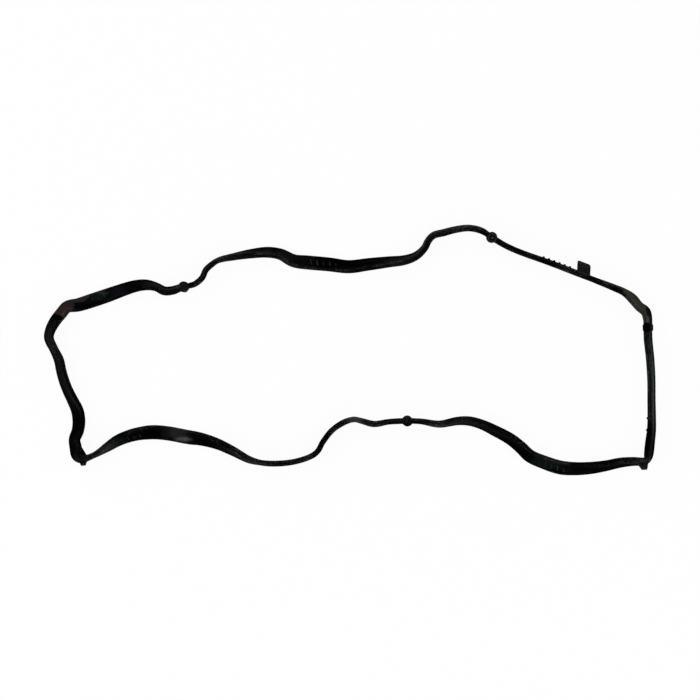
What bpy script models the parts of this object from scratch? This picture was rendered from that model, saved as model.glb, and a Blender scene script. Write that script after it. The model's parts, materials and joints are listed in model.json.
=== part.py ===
"""Valve cover gasket: one closed loop of moulded rubber strip, lying as it came to rest.

The loop is a single moulding. It is drawn as one route round the cover's rim, and the strip's
section is swept along that route. The strip stands on its sealing bead where the route bends
sharply, and rolls over inwards where it runs freely, so each point of the route also gives how
far the strip leans. Every section rests on z = 0.

Units are metres, apart from the route, which is written in millimetres. +Z is up, +X runs along
the length of the loop, and the origin is under the middle of the loop.
"""
import math
from bisect import bisect_right

import bmesh
import bpy
from mathutils import Matrix, Vector
from mathutils.geometry import interpolate_bezier

MM = 0.001

# The loop, measured over the outside of the strip
LOOP_LENGTH = 0.450
LOOP_WIDTH = 0.1843

# The strip's section, standing up: a body with two lips on top and a crush bead below
STRIP_HEIGHT = 0.0104
STRIP_THICKNESS = 0.0042
BODY_EDGE = 0.0005
LIP_GAP = 0.0013
LIP_DEPTH = 0.0008
BEAD_WIDTH = 0.0024
BEAD_TIP_WIDTH = 0.0012
BEAD_DEPTH = 0.0009
RELIEF_HEIGHT = 0.0052
RELIEF_DEPTH = 0.0003
RELIEF_SLOPE = 0.0004

# Round bosses that locate the gasket in the cover's groove
BOSS_DIAMETER = 0.0080
BOSS_PROUD = 0.0006
BOSS_SIDES = 24

# The pin in the top of the back boss, and the groove round it
PIN_DIAMETER = 0.0018
GROOVE_DIAMETER = 0.0050
GROOVE_DEPTH = 0.0004
GROOVE_SLOPE = 0.0003

# A small pip on the inner side of the left boss
PIP_DIAMETER = 0.0022
PIP_SINK = 0.0009
PIP_INSET = 0.0021
PIP_SIDES = 10

# A collar round the strip on the right side
COLLAR_LENGTH = 0.0050
COLLAR_PROUD = 0.0009
COLLAR_INSET = 0.0009
COLLAR_EDGE = 0.0008

# The flat tab on the outer side, which lies on the surface
TAB_REACH = 0.0073
TAB_WIDTH = 0.0103
TAB_SLANT = 0.0028
TAB_THICKNESS = 0.0030
TAB_CORNER = 0.0016

# A row of half-round grip teeth on the outer side, near the tab, and two nubs like them
TOOTH_COUNT = 6
TOOTH_PITCH = 0.0041
TOOTH_DIAMETER = 0.0018
TOOTH_INSET = 0.0017
TOOTH_SIDES = 10
NUB_INSET = 0.0026
NUB_RISE = 0.0020

# Moulded lugs on the outer side of the two front corners
LUG_INSET = 0.0020
LUG_TIP_SHARE = 0.5

# A low web that fills the inner side of the front left corner, where the strip folds over
WEB_REACH = 0.0078
WEB_WIDTH = 0.0190
WEB_HEIGHT = 0.0064
WEB_TIP_SHARE = 0.12
WEB_SLANT = 0.0062

# How deep the roots of the tab and the lugs run into the strip
ROOT_DEPTH = 0.0014

# How finely the route is cut up
LONGEST_STEP = 0.0120
SHARPEST_TURN = math.radians(14)

# The route of the strip's middle, anticlockwise seen from above: x and y in millimetres, and
# how far the strip leans inwards in degrees, from 0 standing to 90 lying with its outer face up.
FRONT_ROUTE = (
    (-199.8, -75.7, 35), (-199.2, -77.4, 29), (-198.0, -78.8, 23), (-196.0, -79.7, 17),
    (-193.7, -79.6, 11), (-188.4, -77.7, 2), (-183.4, -75.3, 5), (-175.9, -70.7, 22),
    (-168.9, -66.4, 36), (-161.4, -63.4, 44), (-153.9, -61.5, 54), (-143.0, -60.2, 74),
    (-132.0, -61.0, 82), (-117.5, -63.8, 74), (-106.6, -65.7, 50), (-95.5, -69.0, 33),
    (-84.5, -74.1, 23), (-73.5, -79.8, 12), (-64.5, -82.2, 2), (-55.0, -82.9, 0),
    (-44.0, -82.2, 0), (-34.4, -80.1, 0), (-26.3, -76.8, 0), (-22.2, -73.1, 0),
    (-19.2, -67.4, 0), (-12.3, -58.6, 0), (-3.7, -52.8, 3), (3.7, -50.6, 0),
    (9.5, -51.8, 3), (18.5, -54.0, 5), (29.5, -52.3, 1), (43.4, -51.7, 0),
    (53.0, -52.1, 2), (66.0, -54.1, 9), (79.5, -51.9, 17), (88.0, -52.0, 22),
    (97.0, -54.5, 25), (106.5, -59.0, 33), (117.5, -65.0, 40), (125.2, -71.1, 46),
    (132.0, -77.6, 54), (141.0, -81.7, 60), (154.0, -85.9, 68), (165.0, -87.0, 57),
    (176.0, -86.5, 45), (187.5, -84.8, 33), (198.0, -82.5, 28), (207.5, -81.5, 20),
    (214.6, -81.6, 15),
)
RIGHT_ROUTE = (
    (216.6, -81.2, 13), (218.1, -80.0, 15), (218.9, -78.1, 21), (219.5, -75.0, 27),
    (220.3, -67.5, 27), (221.3, -58.7, 23), (221.5, -51.4, 20), (221.3, -36.7, 18),
    (221.2, -22.0, 18), (220.4, -7.3, 19), (219.5, 1.5, 20), (218.9, 7.3, 21),
    (218.6, 16.5, 21), (218.6, 22.0, 23), (217.1, 28.2, 29),
)
BACK_ROUTE = (
    (212.3, 32.1, 25), (207.4, 37.8, 27), (201.1, 42.5, 13), (192.8, 46.1, 8),
    (183.3, 49.8, 4), (168.9, 55.4, 0), (147.0, 63.8, 0), (125.0, 71.7, 1),
    (114.1, 76.6, 1), (104.4, 82.4, 0), (97.3, 87.2, 7), (88.0, 89.3, 7),
    (78.0, 88.2, 8), (69.0, 85.9, 10), (61.9, 84.0, 9), (58.0, 80.0, 8),
    (55.1, 74.5, 9), (49.0, 69.0, 16), (40.5, 66.0, 25), (29.5, 64.8, 33),
    (14.5, 63.1, 46), (0.0, 61.4, 56), (-14.5, 63.0, 66), (-29.5, 64.3, 70),
    (-40.5, 65.8, 53), (-50.0, 70.4, 36), (-60.0, 71.8, 32), (-72.0, 70.6, 22),
    (-84.4, 68.3, 10), (-95.2, 65.8, 3), (-100.6, 62.3, 0), (-104.6, 58.4, 0),
    (-107.1, 53.0, 0), (-112.1, 48.6, 0), (-116.6, 47.1, 1), (-120.6, 46.3, 6),
    (-124.6, 45.2, 14), (-128.8, 43.8, 18), (-134.8, 43.5, 19), (-140.8, 46.4, 18),
    (-147.8, 47.9, 31), (-155.3, 47.3, 41), (-164.8, 44.6, 53), (-175.8, 40.6, 68),
    (-186.9, 36.8, 74), (-197.8, 33.5, 60), (-205.9, 32.0, 44),
)
LEFT_ROUTE = (
    (-210.8, 26.7, 43), (-215.4, 20.7, 39), (-218.7, 13.9, 31), (-219.3, 8.4, 27),
    (-215.4, 0.0, 22), (-212.1, -7.3, 29), (-210.5, -14.7, 31), (-208.5, -22.0, 33),
    (-205.7, -29.4, 34), (-202.2, -36.7, 38), (-198.9, -44.0, 50), (-197.7, -51.4, 53),
    (-198.4, -58.7, 46), (-200.8, -65.3, 40), (-200.0, -71.4, 46),
)

# Places beside the route, in the same millimetres, that the details sit nearest to
FRONT_BOSS_PLACE = (42.7, -51.7)
BACK_BOSS_PLACE = (104.4, 82.4)
LEFT_BOSS_PLACE = (-120.6, 46.3)
PIP_PLACE = (-119.8, 46.4)
COLLAR_PLACE = (218.6, 16.5)
TAB_PLACE = (171.4, 54.4)
TEETH_PLACE = (160.6, 58.4)
NUB_PLACES = ((221.5, -49.7), (221.5, -58.6))
CORNER_WEB_PLACE = (-200.0, -72.0)
# Each corner lug: its place, its width at the strip, how far it reaches out and its slant
CORNER_LUGS = (
    ((-194.5, -80.2), 0.0066, 0.0022, 0.0),
    ((214.8, -81.6), 0.0080, 0.0034, 0.0010),
)


def clear_scene():
    """Take every object out of the scene."""
    for item in list(bpy.data.objects):
        bpy.data.objects.remove(item)


def new_collection(name):
    """Make a collection and hang it under the scene."""
    collection = bpy.data.collections.new(name)
    bpy.context.scene.collection.children.link(collection)
    return collection


def rubber_material():
    """Semi-gloss black moulded rubber."""
    material = bpy.data.materials.new("black_rubber")
    material.use_nodes = True
    shader = material.node_tree.nodes["Principled BSDF"]
    shader.inputs["Base Color"].default_value = (0.012, 0.013, 0.013, 1.0)
    shader.inputs["Roughness"].default_value = 0.48
    shader.inputs["Metallic"].default_value = 0.0
    return material


def section_outline():
    """The strip's section, clockwise: x is outwards and y is up when the strip stands."""
    side = STRIP_THICKNESS / 2
    top = STRIP_HEIGHT / 2
    shoulder = BEAD_DEPTH - top
    relief = RELIEF_HEIGHT / 2
    outer_half = [
        (LIP_GAP / 2, top),
        (side - BODY_EDGE, top),
        (side, top - BODY_EDGE),
        (side, relief + RELIEF_SLOPE),
        (side - RELIEF_DEPTH, relief),
        (side - RELIEF_DEPTH, -relief),
        (side, -relief - RELIEF_SLOPE),
        (side, shoulder + BODY_EDGE),
        (BEAD_WIDTH / 2, shoulder),
        (BEAD_TIP_WIDTH / 2, -top),
    ]
    inner_half = [(-x, y) for x, y in reversed(outer_half)]
    return [(0.0, top - LIP_DEPTH), *outer_half, *inner_half]


def section_reach(outline, lean):
    """How far a leaning section reaches below its middle, and half of its width from above."""
    below = -min(x * math.sin(lean) + y * math.cos(lean) for x, y in outline)
    beside = max(x * math.cos(lean) - y * math.sin(lean) for x, y in outline)
    return below, beside


def smooth_route():
    """Join the route's points with a smooth closed curve, cut more finely where it bends."""
    points = [Vector(p) for p in FRONT_ROUTE + RIGHT_ROUTE + BACK_ROUTE + LEFT_ROUTE]
    count = len(points)
    route = []
    for i, here in enumerate(points):
        before, there, after = points[i - 1], points[(i + 1) % count], points[(i + 2) % count]
        back = (here - before).xy.length
        length = (there - here).xy.length
        ahead = (after - there).xy.length
        leaving = (there - before) * (length / (back + length))
        arriving = (after - here) * (length / (length + ahead))
        turn = leaving.xy.angle(arriving.xy)
        steps = max(1, math.ceil(turn / SHARPEST_TURN), math.ceil(length * MM / LONGEST_STEP))
        curve = interpolate_bezier(here, here + leaving / 3, there - arriving / 3, there, steps + 1)
        route.extend(curve[:-1])
    return route


def stretch_to(values, reaches, size):
    """Scale and centre one coordinate so that the strip's outside measures size."""
    low = min(range(len(values)), key=lambda i: values[i] - reaches[i])
    high = max(range(len(values)), key=lambda i: values[i] + reaches[i])
    factor = (size - reaches[low] - reaches[high]) / (values[high] - values[low])
    middle = (values[high] * factor + reaches[high] + values[low] * factor - reaches[low]) / 2
    return factor, middle


class Route:
    """The strip's middle line at full size, with its lean, and frames along it."""

    def __init__(self, outline):
        drawn = smooth_route()
        self.leans = [math.radians(p.z) for p in drawn]
        reaches = [section_reach(outline, lean) for lean in self.leans]
        beside = [reach[1] for reach in reaches]
        self.fit_x = stretch_to([p.x * MM for p in drawn], beside, LOOP_LENGTH)
        self.fit_y = stretch_to([p.y * MM for p in drawn], beside, LOOP_WIDTH)
        self.points = [
            Vector((*self.fitted(p.x, p.y), reach[0])) for p, reach in zip(drawn, reaches)
        ]
        self.distances = [0.0]
        for here, there in zip(self.points, self.points[1:] + self.points[:1]):
            self.distances.append(self.distances[-1] + (there - here).xy.length)

    def fitted(self, x, y):
        """Take a place in the route's millimetres to its place on the finished loop."""
        factor_x, middle_x = self.fit_x
        factor_y, middle_y = self.fit_y
        return x * MM * factor_x - middle_x, y * MM * factor_y - middle_y

    def distance_near(self, place):
        """The distance along the route at which it passes nearest to a place."""
        target = Vector(self.fitted(*place))
        best = (math.inf, 0.0)
        for i, here in enumerate(self.points):
            along = self.points[(i + 1) % len(self.points)].xy - here.xy
            share = (target - here.xy).dot(along) / along.length_squared
            share = min(max(share, 0.0), 1.0)
            miss = (here.xy + along * share - target).length
            best = min(best, (miss, self.distances[i] + share * along.length))
        return best[1]

    def frame(self, distance, upright=False):
        """The section's own axes at a distance: X outwards, Y along the strip, Z up its height.

        An upright frame stands on z = 0 with its Z straight up, whatever the strip's lean.
        """
        distance %= self.distances[-1]
        i = bisect_right(self.distances, distance) - 1
        after = (i + 1) % len(self.points)
        share = (distance - self.distances[i]) / (self.distances[i + 1] - self.distances[i])
        middle = self.points[i].lerp(self.points[after], share)
        along = (self.points[after] - self.points[i]).xy.to_3d().normalized()
        outwards = along.cross(Vector((0, 0, 1)))
        lean = self.leans[i] + (self.leans[after] - self.leans[i]) * share
        if upright:
            lean = 0.0
            middle.z = 0.0
        side = outwards * math.cos(lean) + Vector((0, 0, math.sin(lean)))
        height = Vector((0, 0, math.cos(lean))) - outwards * math.sin(lean)
        turned = Matrix((side, along, height)).transposed().to_4x4()
        return Matrix.Translation(middle) @ turned


def outline_curve(outline):
    """A flat closed curve of the section, for the strip to be swept with."""
    data = bpy.data.curves.new("section", "CURVE")
    data.dimensions = "2D"
    spline = data.splines.new("POLY")
    spline.points.add(len(outline) - 1)
    for point, (x, y) in zip(spline.points, outline):
        point.co = (x, y, 0.0, 1.0)
    spline.use_cyclic_u = True
    section = bpy.data.objects.new("section", data)
    bpy.context.scene.collection.objects.link(section)
    return section


def swept_strip(route, outline, name):
    """Sweep the section round the route, and turn the result into a mesh object."""
    section = outline_curve(outline)
    data = bpy.data.curves.new("route", "CURVE")
    data.dimensions = "3D"
    data.twist_mode = "Z_UP"
    data.bevel_mode = "OBJECT"
    data.bevel_object = section
    spline = data.splines.new("POLY")
    spline.points.add(len(route.points) - 1)
    for point, middle, lean in zip(spline.points, route.points, route.leans):
        point.co = (*middle, 1.0)
        point.tilt = -lean
    spline.use_cyclic_u = True
    path = bpy.data.objects.new("route", data)
    bpy.context.scene.collection.objects.link(path)
    graph = bpy.context.evaluated_depsgraph_get()
    mesh = bpy.data.meshes.new_from_object(path.evaluated_get(graph), depsgraph=graph)
    mesh.name = name
    strip = bpy.data.objects.new(name, mesh)
    strip.matrix_world = path.matrix_world.copy()
    bpy.data.objects.remove(path)
    bpy.data.objects.remove(section)
    return strip


def add_detail(collection, name, shape, frame):
    """Put a moulded detail in its collection, to be joined to the strip."""
    mesh = bpy.data.meshes.new(name)
    bmesh.ops.transform(shape, matrix=frame, verts=shape.verts)
    bmesh.ops.recalc_face_normals(shape, faces=shape.faces)
    shape.to_mesh(mesh)
    shape.free()
    detail = bpy.data.objects.new(name, mesh)
    detail.hide_render = True
    detail.display_type = "WIRE"
    collection.objects.link(detail)


def cylinder(diameter, height, sides):
    """An upright cylinder centred on the origin."""
    shape = bmesh.new()
    bmesh.ops.create_cone(
        shape, cap_ends=True, segments=sides,
        radius1=diameter / 2, radius2=diameter / 2, depth=height,
    )
    return shape


def box(size_x, size_y, size_z):
    """A box centred on the origin."""
    shape = bmesh.new()
    bmesh.ops.create_cube(shape, size=1.0)
    bmesh.ops.scale(shape, vec=(size_x, size_y, size_z), verts=shape.verts)
    return shape


def boss():
    """A round boss that stands on z = 0, with its flat top above the strip's lips."""
    height = STRIP_HEIGHT + BOSS_PROUD
    shape = cylinder(BOSS_DIAMETER, height, BOSS_SIDES)
    bmesh.ops.translate(shape, vec=(0, 0, height / 2), verts=shape.verts)
    return shape


def pin_boss():
    """A boss whose top has a groove round a pin as high as its rim."""
    shape = boss()
    top = max(shape.faces, key=lambda face: face.calc_center_median().z)
    floor_width = (GROOVE_DIAMETER - PIN_DIAMETER) / 2 - 2 * GROOVE_SLOPE
    bmesh.ops.inset_region(shape, faces=[top], thickness=(BOSS_DIAMETER - GROOVE_DIAMETER) / 2)
    bmesh.ops.inset_region(shape, faces=[top], thickness=GROOVE_SLOPE)
    bmesh.ops.translate(shape, vec=(0, 0, -GROOVE_DEPTH), verts=top.verts)
    bmesh.ops.inset_region(shape, faces=[top], thickness=floor_width)
    bmesh.ops.inset_region(shape, faces=[top], thickness=GROOVE_SLOPE)
    bmesh.ops.translate(shape, vec=(0, 0, GROOVE_DEPTH), verts=top.verts)
    return shape


def tooth(inset):
    """A small half-round rib that stops short of the strip's top and bottom."""
    return cylinder(TOOTH_DIAMETER, STRIP_HEIGHT - 2 * inset, TOOTH_SIDES)


def collar():
    """A block with rounded edges that wraps the strip."""
    thickness = STRIP_THICKNESS + 2 * COLLAR_PROUD
    shape = box(thickness, COLLAR_LENGTH, STRIP_HEIGHT - 2 * COLLAR_INSET)
    bmesh.ops.bevel(
        shape, geom=shape.edges[:], offset=COLLAR_EDGE, segments=2, profile=0.5,
        affect="EDGES", material=-1,
    )
    return shape


def wedge(start, end, width, height, tip_share, slant):
    """A block along X from start to end, whose far end is narrower and moved aside by slant."""
    shape = box(end - start, width, height)
    bmesh.ops.translate(shape, vec=((start + end) / 2, 0, 0), verts=shape.verts)
    tip = [vert for vert in shape.verts if vert.co.x > (start + end) / 2]
    bmesh.ops.scale(shape, vec=(1, tip_share, 1), verts=tip)
    bmesh.ops.translate(shape, vec=(0, slant, 0), verts=tip)
    return shape


def tab():
    """A flat plate on z = 0 that reaches outwards from the strip, with rounded corners."""
    face = STRIP_THICKNESS / 2
    shape = wedge(face - ROOT_DEPTH, face + TAB_REACH, TAB_WIDTH, TAB_THICKNESS, 1.0, TAB_SLANT)
    bmesh.ops.translate(shape, vec=(0, 0, TAB_THICKNESS / 2), verts=shape.verts)
    corners = [
        edge for edge in shape.edges
        if all(vert.co.x > face for vert in edge.verts)
        and abs(edge.verts[0].co.z - edge.verts[1].co.z) > TAB_THICKNESS / 2
    ]
    bmesh.ops.bevel(
        shape, geom=corners, offset=TAB_CORNER, segments=4, profile=0.5,
        affect="EDGES", material=-1,
    )
    return shape


def lug(width, reach, slant):
    """A wedge that narrows as it reaches outwards from a corner."""
    face = STRIP_THICKNESS / 2
    height = STRIP_HEIGHT - 2 * LUG_INSET
    return wedge(face - ROOT_DEPTH, face + reach, width, height, LUG_TIP_SHARE, slant)


def corner_web():
    """A low wedge on z = 0 that reaches inwards from the strip's middle into the corner."""
    shape = wedge(0.0, WEB_REACH, WEB_WIDTH, WEB_HEIGHT, WEB_TIP_SHARE, -WEB_SLANT)
    bmesh.ops.translate(shape, vec=(0, 0, WEB_HEIGHT / 2), verts=shape.verts)
    bmesh.ops.rotate(shape, matrix=Matrix.Rotation(math.pi, 3, "Z"), verts=shape.verts)
    return shape


def moulded_details(route):
    """Everything that is moulded on the strip, in a collection of its own."""
    details = new_collection("moulded_details")
    bosses = {
        "front_boss": (boss(), FRONT_BOSS_PLACE),
        "back_boss": (pin_boss(), BACK_BOSS_PLACE),
        "left_boss": (boss(), LEFT_BOSS_PLACE),
    }
    for name, (shape, place) in bosses.items():
        frame = route.frame(route.distance_near(place), upright=True)
        add_detail(details, name, shape, frame)
    pip = cylinder(PIP_DIAMETER, STRIP_HEIGHT - 2 * PIP_INSET, PIP_SIDES)
    pip_shift = Matrix.Translation((PIP_SINK - BOSS_DIAMETER / 2, 0, 0))
    add_detail(details, "pip", pip, route.frame(route.distance_near(PIP_PLACE)) @ pip_shift)
    collar_frame = route.frame(route.distance_near(COLLAR_PLACE))
    add_detail(details, "collar", collar(), collar_frame)
    tab_frame = route.frame(route.distance_near(TAB_PLACE), upright=True)
    add_detail(details, "tab", tab(), tab_frame)
    outer_face = Matrix.Translation((STRIP_THICKNESS / 2, 0, 0))
    teeth_start = route.distance_near(TEETH_PLACE)
    for number in range(TOOTH_COUNT):
        frame = route.frame(teeth_start + number * TOOTH_PITCH)
        add_detail(details, f"tooth_{number + 1}", tooth(TOOTH_INSET), frame @ outer_face)
    high_on_inner_face = Matrix.Translation((-STRIP_THICKNESS / 2, 0, NUB_RISE))
    for number, place in enumerate(NUB_PLACES, 1):
        frame = route.frame(route.distance_near(place))
        add_detail(details, f"nub_{number}", tooth(NUB_INSET), frame @ high_on_inner_face)
    for number, (place, width, reach, slant) in enumerate(CORNER_LUGS, 1):
        frame = route.frame(route.distance_near(place))
        add_detail(details, f"lug_{number}", lug(width, reach, slant), frame)
    web_frame = route.frame(route.distance_near(CORNER_WEB_PLACE), upright=True)
    add_detail(details, "corner_web", corner_web(), web_frame)
    return details


def build_gasket():
    """Sweep the strip and join its details to it."""
    outline = section_outline()
    route = Route(outline)
    gasket = swept_strip(route, outline, "gasket")
    new_collection("valve_cover_gasket").objects.link(gasket)
    joined = gasket.modifiers.new("join_details", "BOOLEAN")
    joined.operation = "UNION"
    joined.solver = "EXACT"
    joined.operand_type = "COLLECTION"
    joined.collection = moulded_details(route)
    gasket.data.materials.append(rubber_material())
    gasket.data.shade_smooth()
    gasket.data.set_sharp_from_angle(angle=math.radians(35))
    return gasket


clear_scene()
build_gasket()
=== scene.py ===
"""Valve cover gasket: the moulded rubber loop at full detail, in a plain white studio.

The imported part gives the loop's size and place. This script sweeps a finer section round the
same route, moulds the same bosses, collar, tab, teeth, lugs and web on it with rounded edges,
joins them into one mesh, and gives it its rubber.

Units are metres, apart from the route, the places beside it and the patches of colour, which
are written in millimetres. +Z is up, +X runs along the length of the loop, and the origin is
under the middle of the loop.
"""

import json
import math
from bisect import bisect_right

import bmesh
import bpy
from bpy.props import FloatProperty, FloatVectorProperty, IntProperty, PointerProperty
from bpy.types import Operator, Panel, PropertyGroup
from mathutils import Matrix, Vector, noise
from mathutils.geometry import interpolate_bezier
from mathutils.kdtree import KDTree

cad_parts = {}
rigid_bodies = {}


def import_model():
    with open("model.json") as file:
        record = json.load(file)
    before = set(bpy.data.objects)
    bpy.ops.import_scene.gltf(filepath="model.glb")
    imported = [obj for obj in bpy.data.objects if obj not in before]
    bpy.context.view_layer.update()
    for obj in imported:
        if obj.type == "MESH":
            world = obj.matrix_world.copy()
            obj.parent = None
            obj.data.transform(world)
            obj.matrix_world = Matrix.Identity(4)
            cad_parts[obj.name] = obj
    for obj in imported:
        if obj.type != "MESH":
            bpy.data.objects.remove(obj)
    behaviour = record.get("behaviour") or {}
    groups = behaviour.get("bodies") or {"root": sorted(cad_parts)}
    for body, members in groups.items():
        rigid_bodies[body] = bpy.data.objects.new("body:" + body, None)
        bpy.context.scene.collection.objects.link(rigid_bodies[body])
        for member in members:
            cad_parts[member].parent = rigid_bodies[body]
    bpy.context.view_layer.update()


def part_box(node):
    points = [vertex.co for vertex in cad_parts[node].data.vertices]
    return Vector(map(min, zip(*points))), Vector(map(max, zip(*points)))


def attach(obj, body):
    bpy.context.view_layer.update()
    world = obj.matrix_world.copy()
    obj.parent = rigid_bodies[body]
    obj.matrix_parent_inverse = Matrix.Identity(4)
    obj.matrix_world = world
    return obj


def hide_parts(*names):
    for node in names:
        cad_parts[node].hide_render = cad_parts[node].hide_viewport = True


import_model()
GASKET_LOW, GASKET_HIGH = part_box("gasket")

bl_info = {
    "name": "Valve cover gasket",
    "version": (1, 0, 0),
    "blender": (4, 5, 0),
    "location": "3D View > Sidebar > Gasket",
    "description": "Models a moulded rubber valve cover gasket and lights it in a plain studio",
    "category": "Object",
}

MM = 0.001
DETAILS = "moulded_details"
STRIP = "strip"
GASKET = "moulded_gasket"

# How finely the route, the strip and the round details are cut up
SHARPEST_TURN = math.radians(4)
ROUTE_STEP = 0.0006
EXTRUDED_STEP = 0.0100
WELD = 0.00001
BOSS_SIDES = 48
PIP_SIDES = 24
TOOTH_SIDES = 20

# How quickly the strip's swell changes along the loop, and how far a rib slants on its face
SWELL_SCALE = 40.0
RIB_SLANT = math.radians(14)

# Bends between two faces that pick out the outline of a plate, a groove and a boss
PLATE_BEND = math.radians(45)
GROOVE_BEND = math.radians(30)
BOSS_BEND = math.radians(75)

# The bend that makes a full rim, the one from which the shading is sharp, and the share of the
# relief's depth above which a point is on a rib
RIM_BEND = math.radians(22)
SHARP_BEND = math.radians(40)
RAISED_SHARE = 0.75

# Noise in the rubber: its scale, detail and roughness, and the value that it varies about
PATCH_NOISE = (420.0, 4.0, 0.6)
SPECK_NOISE = (1000.0, 3.0, 0.7)
RUN_NOISE = (70.0, 2.0, 0.5)
STREAK_NOISE = (1.0, 3.0, 0.6)
CLOUD_NOISE = (32.0, 3.0, 0.55)
MOTTLE_NOISE = (600.0, 3.0, 0.6)
LIP_NOISE = (40.0, 2.0, 0.5)
RIB_NOISE = (260.0, 2.0, 0.5)
GRAIN_NOISE = (2400.0, 3.0, 0.6)
NOISE_MIDDLE = 0.5

# Streaks: how often they change along the strip and across it
FINE_STREAKS = (30.0, 1900.0)
COARSE_STREAKS = (45.0, 750.0)

# The two values between which a mark goes from none to full
SPECK_RAMP = (0.48, 0.72)
FADED_RAMP = (1.02, 1.50)
LIP_RAMP = (0.0036, 0.0046)
LIP_STREAK_RAMP = (0.80, 1.05)
PATCHY_RAMP = (0.35, 0.65)
OVERHEAD_RAMP = (0.25, 0.95)

# How much the mottling adds to the fading, the fine streaks to the lips' rubbed streaks and
# painted highlights, and how strong the dust and painted glints on the rims are
MOTTLE_SHARE = 0.35
LIP_STREAK_SHARE = 0.6
RIM_DUST_AND_GLINT = 0.85

# How much each mark dulls the rubber, and how much smoother it is where it is clean
FADED_DULLS = 0.16
STREAKS_DULL = 0.12
DUST_DULLS = 0.25
CLEAN_SHINE = 0.06

# The grain's strength, how much of the streaks it holds, and the rubber's specular level
GRAIN_STRENGTH = 0.7
GRAIN_STREAKS = 1.2
SPECULAR = 0.002

# The white that the camera sees round the object, and how much of the floor's is its own glow
WHITE = (1.0, 1.0, 1.0, 1.0)
FLOOR_GLOW = 0.95

# Each lamp: its name, its place, its width and the setting that holds its power
LAMPS = (
    ("back_lamp", (-1.1, 1.6, 0.95), 1.8, "lamp_power"),
    ("right_lamp", (1.9, 0.3, 0.9), 1.8, "lamp_power"),
    ("front_lamp", (0.3, -1.9, 0.95), 1.8, "lamp_power"),
    ("left_lamp", (-1.9, -0.5, 0.9), 1.8, "lamp_power"),
    ("top_lamp", (-0.15, -0.85, 2.6), 0.35, "top_power"),
)

# How far the camera sees
CAMERA_SEES = 100.0

# The route of the strip's middle, anticlockwise seen from above: x and y in millimetres, and
# how far the strip leans inwards in degrees, from 0 standing to 90 lying with its outer face up.
FRONT_ROUTE = (
    (-199.8, -75.7, 35), (-199.2, -77.4, 29), (-198.0, -78.8, 23), (-196.0, -79.7, 17),
    (-193.7, -79.6, 11), (-188.4, -77.7, 2), (-183.4, -75.3, 5), (-175.9, -70.7, 22),
    (-168.9, -66.4, 36), (-161.4, -63.4, 44), (-153.9, -61.5, 54), (-143.0, -60.2, 74),
    (-132.0, -61.0, 82), (-117.5, -63.8, 74), (-106.6, -65.7, 50), (-95.5, -69.0, 33),
    (-84.5, -74.1, 23), (-73.5, -79.8, 12), (-64.5, -82.2, 2), (-55.0, -82.9, 0),
    (-44.0, -82.2, 0), (-34.4, -80.1, 0), (-26.3, -76.8, 0), (-22.2, -73.1, 0),
    (-19.2, -67.4, 0), (-12.3, -58.6, 0), (-3.7, -52.8, 3), (3.7, -50.6, 0),
    (9.5, -51.8, 3), (18.5, -54.0, 5), (29.5, -52.3, 1), (43.4, -51.7, 0),
    (53.0, -52.1, 2), (66.0, -54.1, 9), (79.5, -51.9, 17), (88.0, -52.0, 22),
    (97.0, -54.5, 25), (106.5, -59.0, 33), (117.5, -65.0, 40), (125.2, -71.1, 46),
    (132.0, -77.6, 54), (141.0, -81.7, 60), (154.0, -85.9, 68), (165.0, -87.0, 57),
    (176.0, -86.5, 45), (187.5, -84.8, 33), (198.0, -82.5, 28), (207.5, -81.5, 20),
    (214.6, -81.6, 15),
)
RIGHT_ROUTE = (
    (216.6, -81.2, 13), (218.1, -80.0, 15), (218.9, -78.1, 21), (219.5, -75.0, 27),
    (220.3, -67.5, 27), (221.3, -58.7, 23), (221.5, -51.4, 20), (221.3, -36.7, 18),
    (221.2, -22.0, 18), (220.4, -7.3, 19), (219.5, 1.5, 20), (218.9, 7.3, 21),
    (218.6, 16.5, 21), (218.6, 22.0, 23), (217.1, 28.2, 29),
)
BACK_ROUTE = (
    (212.3, 32.1, 25), (207.4, 37.8, 27), (201.1, 42.5, 13), (192.8, 46.1, 8),
    (183.3, 49.8, 4), (168.9, 55.4, 0), (147.0, 63.8, 0), (125.0, 71.7, 1),
    (114.1, 76.6, 1), (104.4, 82.4, 0), (97.3, 87.2, 7), (88.0, 89.3, 7),
    (78.0, 88.2, 8), (69.0, 85.9, 10), (61.9, 84.0, 9), (58.0, 80.0, 8),
    (55.1, 74.5, 9), (49.0, 69.0, 16), (40.5, 66.0, 25), (29.5, 64.8, 33),
    (14.5, 63.1, 46), (0.0, 61.4, 56), (-14.5, 63.0, 66), (-29.5, 64.3, 70),
    (-40.5, 65.8, 53), (-50.0, 70.4, 36), (-60.0, 71.8, 32), (-72.0, 70.6, 22),
    (-84.4, 68.3, 10), (-95.2, 65.8, 3), (-100.6, 62.3, 0), (-104.6, 58.4, 0),
    (-107.1, 53.0, 0), (-112.1, 48.6, 0), (-116.6, 47.1, 1), (-120.6, 46.3, 6),
    (-124.6, 45.2, 14), (-128.8, 43.8, 18), (-134.8, 43.5, 19), (-140.8, 46.4, 18),
    (-147.8, 47.9, 31), (-155.3, 47.3, 41), (-164.8, 44.6, 53), (-175.8, 40.6, 68),
    (-186.9, 36.8, 74), (-197.8, 33.5, 60), (-205.9, 32.0, 44),
)
LEFT_ROUTE = (
    (-210.8, 26.7, 43), (-215.4, 20.7, 39), (-218.7, 13.9, 31), (-219.3, 8.4, 27),
    (-215.4, 0.0, 22), (-212.1, -7.3, 29), (-210.5, -14.7, 31), (-208.5, -22.0, 33),
    (-205.7, -29.4, 34), (-202.2, -36.7, 38), (-198.9, -44.0, 50), (-197.7, -51.4, 53),
    (-198.4, -58.7, 46), (-200.8, -65.3, 40), (-200.0, -71.4, 46),
)

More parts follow.
